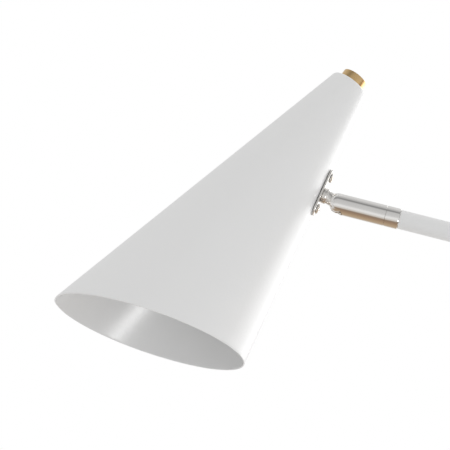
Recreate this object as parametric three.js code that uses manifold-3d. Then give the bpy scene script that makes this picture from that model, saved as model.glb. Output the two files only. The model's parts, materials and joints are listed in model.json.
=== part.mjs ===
// Adjustable-arm floor lamp: a round weighted base, a two-piece pole, a swivelling fork with a
// thumb knob, one straight arm, and a slanted cone shade held on a slotted ball swivel.
// Units are millimetres, +Z is up, and the origin is the centre of the base's underside.
// The lamp stands in the XZ plane: the arm rises towards -X.

import * as THREE from 'three';
import { mergeVertices } from 'three/addons/utils/BufferGeometryUtils.js';
import Module from 'manifold-3d';

const wasm = await Module();
wasm.setup();

// ---------------------------------------------------------------- driving dimensions

const GAP = 0.3;                       // air kept between pieces that touch
const DEG = Math.PI / 180;

// base
const BASE_RADIUS = 135;
const PAD = { radius: 129, top: 2 };
const WEIGHT = { radius: 130, top: 17, recess: 22, recessTop: 11 };
const COVER = { top: 20, wall: 1.5, skirt: 1.2, edge: 5 };
const THREAD = { radius: 5, bore: 3.3, hole: 5.4 };
const CABLE_RADIUS = 2.8;

// pole
const POLE = { radius: 9.5, wall: 1.2, foot: 20.3, joint: 640, top: 1218 };
const FOOT_COLLAR = { radius: 15, height: 12 };

// fork and knob at the pole's top
const PIVOT_Z = 1262;
const HOUSING = { radius: 9.5, bottom: 1221.6, top: 1246, wall: 2 };
const FORK = { radius: 11, bottom: 1246.3, floor: 1251, cheekRadius: 10, inner: 5, outer: 8.6 };
const BOLT_RADIUS = 3;
const TONGUE = { radius: 9.5, half: 3.5 };
const WASHER = { radius: 9, thick: 0.9 };
const KNOB = { radius: 11, length: 12, lobes: 6 };

// arm
const ARM_RISE = 16.2;                 // degrees above the horizontal
const ARM_LENGTH = 640;                // pivot to ball centre
const ARM = { radius: 7.95, wall: 1.2, start: 27.3 };
const NECK_OF_TONGUE = { radius: 4.6, end: 24.5 };

// ball swivel, measured back from the ball centre along the arm
const BARREL = { radius: 8.7, bore: 7.3, wallStart: 34, end: 41 };
const FERRULE = { start: 41.3, end: 52.6 };
const BALL_RADIUS = 7;
const SLOT = { half: 6, up: 22, down: 90, reach: 14 };

// shade: a cone known by its virtual apex, the axis distances are measured from there
const SHADE_DROP = 53.2;               // the axis, degrees below the horizontal
const HALF_ANGLE = 12.66;
const WALL = 1.0;
const TOP_K = 73.2;
const RIM_NEAR_K = 320.2;              // axis distance of the mouth on the arm's side
const RIM_FAR_K = 371.3;               // and on the far side
const SHOULDER = 2.6;
const CAP = { radius: 11.2, height: 7.6 };
const CAP_THREAD = { radius: 4.8, hole: 5.3 };

// mounting plate, in its own frame: X towards the mouth, Z out of the cone
const PLATE = { distance: 170.0, length: 42.5, width: 14, thick: 1.6, screwPitch: 29.4 };
const BALL_FROM_PLATE = { x: 4.0, z: 16.1 };
const BOSS = { x: 1.9, radius: 6.5, top: 6.2, neck: 5.2, pin: 3.4 };
const SCREW = { head: 4.25, height: 2.5, shank: 2, hole: 2.3, length: 5 };

// lamp holder and bulb, as axis distances from the apex
const HOLDER = { top: 94, bottom: 132, radius: 14.5, bore: 12 };
const BULB = { glass: 22.5, wall: 1, centre: 168, neck: 11.5, neckTop: 136 };

const ROUND = 40;                      // facets of a large turned piece
const MIDDLE = 24;                     // of a tube
const SMALL = 16;                      // and of a small one

// ---------------------------------------------------------------- materials

function finish(color, roughness, metalness) {
  return new THREE.MeshStandardMaterial({ color, roughness, metalness });
}

const WHITE_PAINT = finish(0xe9e9e8, 0.45, 0);
const NICKEL = finish(0xb9b6b0, 0.22, 1);
const CHROME = finish(0xcfd0d2, 0.08, 1);
const BRASS = finish(0xc9a468, 0.32, 1);
const STEEL = finish(0x8d8f92, 0.45, 1);
const CAST_IRON = finish(0x3b3c3e, 0.8, 0.6);
const RUBBER = finish(0x1c1c1d, 0.85, 0);
const PLASTIC = finish(0xf1efe9, 0.5, 0);
const GLASS = finish(0xf6f5f0, 0.15, 0);

// ---------------------------------------------------------------- shape helpers

// A profile of [radius, height] points turned about Z. It starts and ends on the axis, or closes.
// It may be drawn either way round: the sign of its area says which side faces out.
function turned(points, facets = SMALL) {
  const outline = points.map(([r, z]) => new THREE.Vector2(r, z));
  if (THREE.ShapeUtils.area(outline) < 0) outline.reverse();
  return new THREE.LatheGeometry(outline, facets).rotateX(Math.PI / 2);
}

// A plain ring or tube between two heights; with no bore it is a disc or rod.
function ring(radius, bore, low, high, facets = SMALL) {
  if (bore === 0) return turned([[0, low], [radius, low], [radius, high], [0, high]], facets);
  return turned([[bore, low], [radius, low], [radius, high], [bore, high], [bore, low]], facets);
}

function prism(sides, radius, low, high, turn = 0) {
  const body = new THREE.CylinderGeometry(radius, radius, high - low, sides);
  return body.rotateX(Math.PI / 2).rotateZ(turn).translate(0, 0, (low + high) / 2);
}

function block(x0, x1, y0, y1, z0, z1) {
  const box = new THREE.BoxGeometry(x1 - x0, y1 - y0, z1 - z0);
  return box.translate((x0 + x1) / 2, (y0 + y1) / 2, (z0 + z1) / 2);
}

// A round rod between two points in the XZ plane, with its own radius at each end.
function rod(from, to, radiusFrom, radiusTo = radiusFrom, facets = SMALL) {
  const start = new THREE.Vector3(from[0], 0, from[1]);
  const end = new THREE.Vector3(to[0], 0, to[1]);
  const along = end.clone().sub(start);
  const body = new THREE.CylinderGeometry(radiusTo, radiusFrom, along.length(), facets);
  const up = new THREE.Vector3(0, 1, 0);
  body.applyQuaternion(new THREE.Quaternion().setFromUnitVectors(up, along.normalize()));
  const middle = start.add(end).multiplyScalar(0.5);
  return body.translate(middle.x, middle.y, middle.z);
}

// A tube or wire swept along a curve.
function swept(curve, radius, steps, sides = 8) {
  const section = new THREE.Shape();
  section.absarc(0, 0, radius, 0, 2 * Math.PI);
  return new THREE.ExtrudeGeometry(section, {
    steps, curveSegments: sides / 2, bevelEnabled: false, extrudePath: curve,
  });
}

function toSolid(geometry) {
  const bare = geometry.index ? geometry.toNonIndexed() : geometry.clone();
  bare.deleteAttribute('normal');
  bare.deleteAttribute('uv');
  const merged = mergeVertices(bare, 1e-4);
  return new wasm.Manifold(new wasm.Mesh({
    numProp: 3,
    vertProperties: new Float32Array(merged.attributes.position.array),
    triVerts: new Uint32Array(merged.index.array),
  }));
}

function fromSolid(solid) {
  const mesh = solid.getMesh();
  const geometry = new THREE.BufferGeometry();
  geometry.setAttribute('position', new THREE.BufferAttribute(mesh.vertProperties, 3));
  geometry.setIndex(new THREE.BufferAttribute(mesh.triVerts, 1));
  geometry.computeVertexNormals();
  return geometry;
}

const cut = (body, ...tools) =>
  fromSolid(tools.reduce((rest, tool) => rest.subtract(toSolid(tool)), toSolid(body)));

const joined = (body, ...more) =>
  fromSolid(more.reduce((sum, piece) => sum.add(toSolid(piece)), toSolid(body)));

function add(parent, name, geometry, material) {
  const mesh = new THREE.Mesh(geometry, material);
  mesh.name = name;
  parent.add(mesh);
  return mesh;
}

const lamp = new THREE.Group();

// ---------------------------------------------------------------- base

function buildBase() {
  add(lamp, 'base_pad', ring(PAD.radius, 0, 0, PAD.top, ROUND), RUBBER);

  const weightLow = PAD.top + GAP;
  const weight = turned([
    [WEIGHT.recess, weightLow], [WEIGHT.radius, weightLow], [WEIGHT.radius, WEIGHT.top],
    [THREAD.hole, WEIGHT.top], [THREAD.hole, WEIGHT.recessTop], [WEIGHT.recess, WEIGHT.recessTop],
    [WEIGHT.recess, weightLow],
  ], ROUND);
  const cableChannel = block(WEIGHT.recess - 2, BASE_RADIUS, -6, 6, 0, WEIGHT.recessTop);
  add(lamp, 'base_weight', cut(weight, cableChannel), CAST_IRON);

  // The spun cover: a flat top, a rounded edge and a short skirt.
  const outer = BASE_RADIUS;
  const inner = outer - COVER.wall;
  const profile = [[THREAD.hole, COVER.top - COVER.wall], [THREAD.hole, COVER.top]];
  for (let i = 0; i <= 3; i++) {
    const a = (90 - 30 * i) * DEG;
    profile.push([outer - COVER.edge + COVER.edge * Math.cos(a),
      COVER.top - COVER.edge + COVER.edge * Math.sin(a)]);
  }
  profile.push([outer, COVER.skirt], [inner, COVER.skirt]);
  const innerEdge = COVER.edge - COVER.wall;
  for (let i = 3; i >= 0; i--) {
    const a = (90 - 30 * i) * DEG;
    profile.push([inner - innerEdge + innerEdge * Math.cos(a),
      COVER.top - COVER.edge + innerEdge * Math.sin(a)]);
  }
  profile.push(profile[0]);
  const glandHole = rod([inner - 6, 8], [outer + 4, 8], 5.2);
  add(lamp, 'base_cover', cut(turned(profile, ROUND), glandHole), WHITE_PAINT);

  // The cable gland in the skirt, a flanged bush on the side away from the arm.
  const gland = joined(
    rod([inner - 3, 8], [outer + 0.6, 8], 4.9),
    rod([outer + GAP, 8], [outer + 3.6, 8], 6.2),
  );
  add(lamp, 'base_cable_gland', cut(gland, rod([inner - 8, 8], [outer + 8, 8], 3.2)), RUBBER);

  add(lamp, 'base_nipple', ring(THREAD.radius, THREAD.bore, 4, 44), STEEL);
  add(lamp, 'base_washer', ring(12, THREAD.hole, 9.2, WEIGHT.recessTop - GAP), STEEL);
  const nut = cut(prism(6, 9.2, 4.6, 8.9), prism(SMALL, THREAD.hole, 0, 12));
  add(lamp, 'base_nut', nut, STEEL);

  const low = COVER.top + GAP;
  const high = low + FOOT_COLLAR.height;
  const collarBore = POLE.radius + GAP;
  add(lamp, 'foot_collar', turned([
    [collarBore, low], [FOOT_COLLAR.radius, low], [FOOT_COLLAR.radius, high - 5],
    [FOOT_COLLAR.radius - 1.2, high - 2.4], [FOOT_COLLAR.radius - 4, high],
    [collarBore, high], [collarBore, low],
  ], MIDDLE), WHITE_PAINT);
}

// ---------------------------------------------------------------- pole

function buildPole() {
  const inside = POLE.radius - POLE.wall;
  const plug = inside - GAP;
  add(lamp, 'lower_pole', ring(POLE.radius, inside, POLE.foot, POLE.joint, MIDDLE), WHITE_PAINT);
  add(lamp, 'upper_pole', ring(POLE.radius, inside, POLE.joint + GAP, POLE.top, MIDDLE), WHITE_PAINT);

  // Threaded plugs: in the pole's foot, on both sides of its joint, and in its top.
  add(lamp, 'pole_foot_insert', ring(plug, THREAD.hole, COVER.top + GAP, 46), STEEL);
  add(lamp, 'pole_joint_socket', ring(plug, THREAD.hole, POLE.joint - 24, POLE.joint - 0.5), STEEL);
  add(lamp, 'pole_joint_insert', ring(plug, THREAD.hole, POLE.joint + 0.5, POLE.joint + 24), STEEL);
  const stud = ring(THREAD.radius, THREAD.bore, POLE.joint - 20, POLE.joint + 20);
  add(lamp, 'pole_joint_stud', stud, STEEL);

  const cap = POLE.top + GAP;
  add(lamp, 'pole_top_insert', turned([
    [THREAD.hole, POLE.top - 22], [plug, POLE.top - 22], [plug, cap], [POLE.radius, cap],
    [POLE.radius, cap + 3], [THREAD.hole, cap + 3], [THREAD.hole, POLE.top - 22],
  ], MIDDLE), CHROME);
  add(lamp, 'pole_cable', ring(CABLE_RADIUS, 0, 6, POLE.top + 8, 10), RUBBER);
}

// ---------------------------------------------------------------- fork and knob

function buildFork() {
  const bottom = HOUSING.bottom;
  const floor = bottom + 4;
  const nutTop = floor + GAP + 4;
  const stud = ring(THREAD.radius, THREAD.bore, POLE.top - 18, nutTop + 1.5);
  add(lamp, 'swivel_stud', stud, STEEL);
  const nut = cut(prism(6, 6.9, floor + GAP, nutTop), prism(SMALL, THREAD.hole, floor - 2, nutTop + 2));
  add(lamp, 'swivel_nut', nut, STEEL);

  // The housing turns on the stud: a cup with a floor, open above for the fork's spigot.
  const cup = HOUSING.radius - HOUSING.wall;
  add(lamp, 'swivel_housing', turned([
    [THREAD.hole, bottom], [HOUSING.radius - 0.8, bottom], [HOUSING.radius, bottom + 0.8],
    [HOUSING.radius, HOUSING.top], [cup, HOUSING.top], [cup, floor], [THREAD.hole, floor],
    [THREAD.hole, bottom],
  ], MIDDLE), CHROME);

  // The fork: a spigot in the housing, a round foot and two cheeks with round tops.
  const spigot = ring(cup - GAP, 3.4, HOUSING.top - 9, FORK.floor, MIDDLE);
  const foot = ring(FORK.radius, 3.4, FORK.bottom, FORK.floor, MIDDLE);
  const cheekShape = new THREE.Shape();
  cheekShape.moveTo(-FORK.cheekRadius, FORK.floor - PIVOT_Z - 1);
  cheekShape.lineTo(FORK.cheekRadius, FORK.floor - PIVOT_Z - 1);
  cheekShape.lineTo(FORK.cheekRadius, 0);
  cheekShape.absarc(0, 0, FORK.cheekRadius, 0, Math.PI);
  const thick = FORK.outer - FORK.inner;
  const cheek = new THREE.ExtrudeGeometry(cheekShape, { depth: thick, bevelEnabled: false, curveSegments: 10 });
  cheek.rotateX(Math.PI / 2).translate(0, 0, PIVOT_Z);
  const near = cheek.clone().translate(0, -FORK.inner, 0);
  const far = cheek.clone().translate(0, FORK.outer, 0);
  const boltHole = prism(SMALL, BOLT_RADIUS + GAP, -20, 20).rotateX(Math.PI / 2).translate(0, 0, PIVOT_Z);
  const forkBody = joined(spigot, foot, near, far);
  // Cheek corners that stand out past the round foot are trimmed to it.
  const envelope = toSolid(ring(FORK.radius, 0, HOUSING.top - 12, PIVOT_Z + 20, MIDDLE));
  const trimmed = fromSolid(toSolid(forkBody).intersect(envelope));
  add(lamp, 'pivot_fork', cut(trimmed, boltHole), CHROME);

  const alongY = (geometry) => geometry.rotateX(-Math.PI / 2).translate(0, 0, PIVOT_Z);
  for (const [name, side] of [['friction_washer_near', -1], ['friction_washer_far', 1]]) {
    const low = side > 0 ? TONGUE.half + GAP : -TONGUE.half - GAP - WASHER.thick;
    add(lamp, name, alongY(ring(WASHER.radius, BOLT_RADIUS + GAP, low, low + WASHER.thick)), PLASTIC);
  }

  // The bolt runs through fork, washers and tongue; a cap nut closes its near end.
  const nearEnd = -FORK.outer - 5;
  const farEnd = FORK.outer + 8;
  add(lamp, 'pivot_bolt', alongY(ring(BOLT_RADIUS, 0, nearEnd, farEnd)), STEEL);
  const capNut = turned([
    [BOLT_RADIUS + GAP, -FORK.outer - GAP], [BOLT_RADIUS + GAP, nearEnd - GAP], [0, nearEnd - GAP],
    [0, nearEnd - 3], [3.5, nearEnd - 2.4], [5.6, nearEnd - 0.4], [6.2, nearEnd + 1.6],
    [6.2, -FORK.outer - GAP], [BOLT_RADIUS + GAP, -FORK.outer - GAP],
  ]);
  add(lamp, 'pivot_cap_nut', alongY(capNut), CHROME);

  // The thumb knob: a lobed grip on a short round neck, threaded on the bolt's far end.
  const grip = new THREE.Shape();
  const points = KNOB.lobes * 6;
  for (let i = 0; i <= points; i++) {
    const a = (2 * Math.PI * i) / points;
    const r = KNOB.radius + 0.9 * Math.cos(KNOB.lobes * a);
    if (i === 0) grip.moveTo(r, 0);
    else grip.lineTo(r * Math.cos(a), r * Math.sin(a));
  }
  const gripBody = new THREE.ExtrudeGeometry(grip, {
    depth: KNOB.length - 2, bevelEnabled: true, bevelThickness: 1, bevelSize: 1, bevelOffset: -1,
    bevelSegments: 1,
  });
  gripBody.translate(0, 0, FORK.outer + 5);
  const knobNeck = ring(6, 0, FORK.outer + GAP, FORK.outer + 6);
  const thread = ring(BOLT_RADIUS + GAP, 0, 0, farEnd + GAP);
  add(lamp, 'pivot_knob', alongY(cut(joined(knobNeck, gripBody), thread)), BRASS);
}

// ---------------------------------------------------------------- arm, in a frame with +Z along it

function buildArm() {
  const arm = new THREE.Group();
  arm.position.set(0, 0, PIVOT_Z);
  arm.rotation.y = -(90 - ARM_RISE) * DEG;
  lamp.add(arm);

  const plugRadius = ARM.radius - ARM.wall - GAP;
  const flange = NECK_OF_TONGUE.end;
  const disc = ring(TONGUE.radius, 0, -TONGUE.half, TONGUE.half, MIDDLE).rotateX(Math.PI / 2);
  const knuckle = joined(
    disc,
    ring(TONGUE.half - 0.1, 0, 2, 12),
    ring(NECK_OF_TONGUE.radius, 0, TONGUE.radius + 0.6, flange),
    ring(ARM.radius, 0, flange - 0.5, ARM.start - GAP),
    ring(plugRadius, 0, ARM.start - 1, ARM.start + 18),
  );
  const boltHole = prism(SMALL, BOLT_RADIUS + GAP, -10, 10).rotateX(Math.PI / 2);
  const cableHole = ring(THREAD.bore, 0, ARM.start - 2, ARM.start + 30);
  add(arm, 'arm_knuckle', cut(knuckle, boltHole, cableHole), CHROME);

  const tip = ARM_LENGTH - FERRULE.end - GAP;
  add(arm, 'arm_tube', ring(ARM.radius, ARM.radius - ARM.wall, ARM.start, tip, MIDDLE), WHITE_PAINT);
  add(arm, 'arm_tip_insert', ring(plugRadius, THREAD.hole, tip - 22, tip), STEEL);

  // Everything of the ball swivel is laid out back from the ball centre.
  const back = (distance) => ARM_LENGTH - distance;
  add(arm, 'swivel_ferrule', turned([
    [THREAD.hole, back(FERRULE.end)], [BARREL.radius - 0.5, back(FERRULE.end)],
    [BARREL.radius, back(FERRULE.end - 0.5)], [BARREL.radius, back(FERRULE.start)],
    [THREAD.hole, back(FERRULE.start)], [THREAD.hole, back(FERRULE.end)],
  ], MIDDLE), CHROME);
  const headBack = BARREL.wallStart - GAP;
  add(arm, 'swivel_nipple', turned([
    [THREAD.bore, back(72)], [THREAD.radius, back(72)], [THREAD.radius, back(headBack)],
    [6.8, back(headBack)], [6.8, back(headBack - 3)], [THREAD.bore, back(headBack - 3)],
    [THREAD.bore, back(72)],
  ]), STEEL);
  add(arm, 'arm_cable', ring(CABLE_RADIUS, 0, ARM.start + 2, back(34), 10), RUBBER);

  // The barrel: a tube with a round nose, slotted below so that the neck can swing down.
  const nose = [];
  for (let i = 0; i <= 5; i++) {
    const a = (i / 5) * Math.PI / 2;
    nose.push([BARREL.radius * Math.cos(a), ARM_LENGTH + BARREL.radius * Math.sin(a)]);
  }
  const cavity = [];
  for (let i = 5; i >= 0; i--) {
    const a = (i / 5) * Math.PI / 2;
    cavity.push([BARREL.bore * Math.cos(a), ARM_LENGTH + BARREL.bore * Math.sin(a)]);
  }
  const shell = turned([
    [THREAD.hole, back(BARREL.end)], [BARREL.radius, back(BARREL.end)], ...nose, ...cavity,
    [BARREL.bore, back(BARREL.wallStart)], [THREAD.hole, back(BARREL.wallStart)],
    [THREAD.hole, back(BARREL.end)],
  ], MIDDLE);
  const sector = new THREE.Shape();
  sector.moveTo(0, 0);
  sector.absarc(0, 0, SLOT.reach, -SLOT.up * DEG, SLOT.down * DEG);
  sector.lineTo(0, 0);
  const slotBody = new THREE.ExtrudeGeometry(sector, {
    depth: 2 * SLOT.half, bevelEnabled: false, curveSegments: 10,
  });
  // The sector is drawn with +X along the nose and +Y towards the arm's underside.
  slotBody.translate(0, 0, -SLOT.half).rotateX(Math.PI / 2).rotateY(-Math.PI / 2);
  slotBody.translate(0, 0, ARM_LENGTH);
  const slotEnd = (degrees) => {
    const x = SLOT.reach * Math.sin(degrees * DEG);
    const z = SLOT.reach * Math.cos(degrees * DEG);
    return rod([0, ARM_LENGTH], [x, ARM_LENGTH + z], SLOT.half);
  };
  const barrel = cut(shell, slotBody, slotEnd(SLOT.up), slotEnd(-SLOT.down));
  add(arm, 'swivel_barrel', barrel, CHROME);

  // The seat presses on the ball, and the spring presses on the seat.
  const seatFront = 5;
  const hollow = [];
  for (let i = 0; i <= 5; i++) {
    const r = 5.4 - i * 0.4;
    hollow.push([r, back(Math.sqrt((BALL_RADIUS + GAP) ** 2 - r * r))]);
  }
  add(arm, 'ball_seat', turned([
    [3.4, back(12)], [6.95, back(12)], [6.95, back(seatFront)], ...hollow, [3.4, back(12)],
  ]), PLASTIC);

  class Coil extends THREE.Curve {
    getPoint(t, target = new THREE.Vector3()) {
      const a = t * 4 * 2 * Math.PI;
      return target.set(5.6 * Math.cos(a), 5.6 * Math.sin(a), back(13.1) - t * 16.3);
    }
  }
  add(arm, 'seat_spring', swept(new Coil(), 0.65, 50, 6), STEEL);
  return arm;
}

// ---------------------------------------------------------------- head, in a frame with its apex at the origin

function buildHead() {
  const half = HALF_ANGLE * DEG;
  const tan = Math.tan(half);
  const rise = ARM_RISE * DEG;
  const drop = SHADE_DROP * DEG;
  const axis = [-Math.cos(drop), -Math.sin(drop)];                     // apex to mouth
  const side = [Math.sin(drop), -Math.cos(drop)];                      // towards the arm
  const along = [0, 1].map((i) => axis[i] * Math.cos(half) + side[i] * Math.sin(half));
  const out = [0, 1].map((i) => side[i] * Math.cos(half) - axis[i] * Math.sin(half));
  const ball = [-ARM_LENGTH * Math.cos(rise), PIVOT_Z + ARM_LENGTH * Math.sin(rise)];
  const alongDistance = PLATE.distance + BALL_FROM_PLATE.x;
  const apex = [0, 1].map((i) => ball[i] - along[i] * alongDistance - out[i] * BALL_FROM_PLATE.z);

  const head = new THREE.Group();
  head.position.set(apex[0], 0, apex[1]);
  head.rotation.y = 90 * DEG - drop;
  lamp.add(head);

  const plate = new THREE.Group();
  plate.position.set(PLATE.distance * Math.sin(half), 0, -PLATE.distance * Math.cos(half));
  plate.rotation.y = 90 * DEG - half;
  head.add(plate);
  // The same place, for shapes that cut the cone's wall.
  const inHead = (geometry) => {
    plate.updateMatrix();
    return geometry.applyMatrix4(plate.matrix);
  };

  // Shade: a thin cone with a rounded shoulder and a turned-in top, cut off slantwise.
  const outerAt = (k) => k * tan;
  const innerAt = (k) => k * tan - WALL / Math.cos(half);
  const lowK = RIM_FAR_K + 12;
  // The shoulder's centre, placed so that its arc runs into the wall without a kink.
  const turnIn = ((TOP_K + SHOULDER) * Math.sin(half) - SHOULDER) / Math.cos(half);
  const shoulder = [];
  for (let i = 0; i <= 4; i++) {
    const a = (i / 4) * (90 * DEG - half) + half;
    shoulder.push([turnIn + SHOULDER * Math.cos(a), -TOP_K - SHOULDER + SHOULDER * Math.sin(a)]);
  }
  const wallProfile = [
    [innerAt(lowK), -lowK], [outerAt(lowK), -lowK], ...shoulder, [CAP_THREAD.hole, -TOP_K],
    [CAP_THREAD.hole, -TOP_K - 1.2], [innerAt(TOP_K + 1.2) - 1.8, -TOP_K - 1.2],
    [innerAt(TOP_K + 3), -TOP_K - 3], [innerAt(lowK), -lowK],
  ];
  const nearX = outerAt(RIM_NEAR_K);
  const farX = -outerAt(RIM_FAR_K);
  const slant = Math.atan2(RIM_FAR_K - RIM_NEAR_K, nearX - farX);
  const mouthCut = new THREE.BoxGeometry(400, 300, 120).translate(0, 0, -60);
  mouthCut.rotateY(-slant);
  mouthCut.translate((nearX + farX) / 2, 0, -(RIM_NEAR_K + RIM_FAR_K) / 2);
  const screwX = PLATE.screwPitch / 2;
  const holes = [-screwX, screwX].map((x) => inHead(prism(16, SCREW.hole, -8, 8).translate(x, 0, 0)));
  const studHole = inHead(prism(SMALL, 6.4, -8, 8).translate(BOSS.x, 0, 0));
  const cone = cut(turned(wallProfile, 48), mouthCut, ...holes, studHole);
  add(head, 'shade', cone, WHITE_PAINT);

  // Cap, nipple and the nut that holds the lamp holder up.
  const capLow = -TOP_K + GAP;
  const capHigh = capLow + CAP.height;
  add(head, 'shade_cap', turned([
    [CAP_THREAD.hole, capLow], [CAP.radius, capLow], [CAP.radius, capHigh - 0.5],
    [CAP.radius - 0.5, capHigh], [0, capHigh], [0, capHigh - 1.4], [CAP_THREAD.hole, capHigh - 1.4],
    [CAP_THREAD.hole, capLow],
  ], MIDDLE), BRASS);
  const nippleLow = -HOLDER.top + 3;
  add(head, 'cap_nipple', ring(CAP_THREAD.radius, 3, nippleLow - 6, capHigh - 1.8), STEEL);
  const nutHigh = -TOP_K - 1.2 - GAP;
  const capNut = cut(prism(6, 8.2, nutHigh - 4, nutHigh), prism(SMALL, CAP_THREAD.hole, -90, -60));
  add(head, 'cap_lock_nut', capNut, STEEL);

  // Lamp holder: a domed plastic cup with a threaded metal liner inside it.
  const low = -HOLDER.bottom;
  const high = -HOLDER.top;
  add(head, 'lamp_holder', turned([
    [HOLDER.bore, low], [HOLDER.radius, low], [HOLDER.radius, high - 5], [HOLDER.radius - 2, high - 1.5],
    [HOLDER.radius - 5, high], [CAP_THREAD.hole, high], [CAP_THREAD.hole, high - 4],
    [HOLDER.bore, high - 8], [HOLDER.bore, low],
  ], MIDDLE), PLASTIC);
  const liner = HOLDER.bore - GAP;
  add(head, 'holder_thread_liner', ring(liner, liner - 0.6, low + 1, high - 9, MIDDLE), BRASS);

  // Bulb: a screw base in the liner and a frosted round glass below it.
  const baseRadius = liner - 0.6 - GAP;
  const baseLow = -BULB.neckTop + 0.4;
  add(head, 'bulb_screw_base', turned([
    [baseRadius - 0.7, baseLow], [baseRadius, baseLow], [baseRadius, high - 22], [5, high - 18],
    [0, high - 18], [0, high - 19], [4.7, high - 19], [baseRadius - 0.7, high - 22.5],
    [baseRadius - 0.7, baseLow],
  ]), STEEL);
  const startAngle = Math.asin(BULB.neck / BULB.glass);
  const arc = (radius, i) => {
    const a = startAngle + (i / 8) * (Math.PI - startAngle);
    return [i === 8 ? 0 : radius * Math.sin(a), -BULB.centre + radius * Math.cos(a)];
  };
  const steps = [1, 2, 3, 4, 5, 6, 7, 8];
  const inner = BULB.glass - BULB.wall;
  add(head, 'bulb_glass', turned([
    [BULB.neck - BULB.wall, -BULB.neckTop], [BULB.neck, -BULB.neckTop],
    ...steps.map((i) => arc(BULB.glass, i)), ...steps.map((i) => arc(inner, i)).reverse(),
    [BULB.neck - BULB.wall, -BULB.neckTop],
  ], MIDDLE), GLASS);

  // The lead inside the shade, from the hollow neck to the holder's side.
  const leadPoints = [[30.6, -163.4], [27, -159], [24, -150], [21.6, -138], [19.4, -122], [17.4, -113]];
  const path = new THREE.CatmullRomCurve3(leadPoints.map(([x, z]) => new THREE.Vector3(x, 0, z)));
  add(head, 'holder_lead', swept(path, 1.6, 16, 6), RUBBER);

  // Mounting plate with round ends, and its two cross-recess screws and nuts.
  const outline = new THREE.Shape();
  const straight = (PLATE.length - PLATE.width) / 2;
  outline.absarc(straight, 0, PLATE.width / 2, -Math.PI / 2, Math.PI / 2);
  outline.absarc(-straight, 0, PLATE.width / 2, Math.PI / 2, 1.5 * Math.PI);
  const strip = new THREE.ExtrudeGeometry(outline, {
    depth: PLATE.thick, bevelEnabled: false, curveSegments: 8,
  }).translate(0, 0, GAP);
  const plateTools = [-screwX, screwX].map((x) => prism(16, SCREW.hole, -1, 4).translate(x, 0, 0));
  plateTools.push(prism(SMALL, BOSS.pin + GAP, -1, 4).translate(BOSS.x, 0, 0));
  add(plate, 'mounting_plate', cut(strip, ...plateTools), NICKEL);

  const seat = GAP + PLATE.thick + GAP;
  for (const [end, x] of [['upper', -screwX], ['lower', screwX]]) {
    const screwBody = turned([
      [0, -SCREW.length], [SCREW.shank, -SCREW.length], [SCREW.shank, seat], [SCREW.head, seat],
      [SCREW.head, seat + 0.9], [SCREW.head * 0.8, seat + 1.9], [SCREW.head * 0.45, seat + SCREW.height],
      [0, seat + SCREW.height],
    ]);
    const slotA = block(-2.1, 2.1, -0.45, 0.45, seat + 1, seat + 4);
    const slotB = block(-0.45, 0.45, -2.1, 2.1, seat + 1, seat + 4);
    const screw = cut(screwBody, slotA, slotB).translate(x, 0, 0);
    add(plate, `plate_screw_${end}`, screw, NICKEL);
    const nut = cut(prism(6, 4, -4, -1.7, 30 * DEG), prism(16, SCREW.hole, -6, 2)).translate(x, 0, 0);
    add(plate, `screw_nut_${end}`, nut, STEEL);
  }

  // Ball stud: boss on the plate, a leaning neck and the ball, bored for the lead.
  const { x: ballX, z: ballZ } = BALL_FROM_PLATE;
  const bossLow = seat;
  const boss = ring(BOSS.radius, 0, bossLow, BOSS.top, MIDDLE).translate(BOSS.x, 0, 0);
  const pin = ring(BOSS.pin, 0, -4, bossLow + 1).translate(BOSS.x, 0, 0);
  const ballBody = new THREE.SphereGeometry(BALL_RADIUS, 20, 12).translate(ballX, 0, ballZ);
  const neck = rod([BOSS.x, BOSS.top - 1], [ballX, ballZ], BOSS.neck + 0.4, BOSS.neck);
  const boreLow = rod([BOSS.x, -6], [BOSS.x, BOSS.top], 1.7, 1.7, 16);
  const boreHigh = rod([BOSS.x, BOSS.top - 0.4], [ballX + 2.2, ballZ + 11.2], 1.7, 1.7, 16);
  add(plate, 'ball_stud', cut(joined(boss, pin, neck, ballBody), boreLow, boreHigh), NICKEL);
  const studNut = cut(prism(6, 5.8, -3.7, -0.1), prism(SMALL, BOSS.pin + GAP, -6, 2));
  add(plate, 'stud_nut', studNut.translate(BOSS.x, 0, 0), STEEL);
}

buildBase();
buildPole();
buildFork();
buildArm();
buildHead();

export default lamp;
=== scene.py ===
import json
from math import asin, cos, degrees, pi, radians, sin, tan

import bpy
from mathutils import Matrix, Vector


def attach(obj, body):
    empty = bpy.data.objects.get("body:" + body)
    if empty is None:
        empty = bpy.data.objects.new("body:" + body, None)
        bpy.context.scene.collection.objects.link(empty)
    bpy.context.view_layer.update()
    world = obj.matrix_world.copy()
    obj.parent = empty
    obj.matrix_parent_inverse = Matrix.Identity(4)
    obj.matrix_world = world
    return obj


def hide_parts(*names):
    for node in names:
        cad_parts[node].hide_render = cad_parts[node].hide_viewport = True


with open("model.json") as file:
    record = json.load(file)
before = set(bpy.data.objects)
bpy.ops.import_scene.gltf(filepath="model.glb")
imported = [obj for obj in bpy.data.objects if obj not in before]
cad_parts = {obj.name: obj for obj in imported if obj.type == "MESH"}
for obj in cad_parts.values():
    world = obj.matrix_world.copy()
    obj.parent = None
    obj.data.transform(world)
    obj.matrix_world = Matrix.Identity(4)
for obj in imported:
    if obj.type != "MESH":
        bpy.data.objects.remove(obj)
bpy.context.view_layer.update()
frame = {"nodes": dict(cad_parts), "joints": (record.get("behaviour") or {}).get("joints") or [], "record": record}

# %% [markdown]
# # A floor lamp with an adjustable arm
#
# The imported model gives the lamp's structure: where each part is, and which parts turn on which.
# This lesson dresses it. Every visible part is modelled again with the care a close view needs,
# in the same place, and every part gets a finish.
#
# The first cell gives the millimetre in metres, the unit that every measure below is written in.

MM = 0.001

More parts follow.
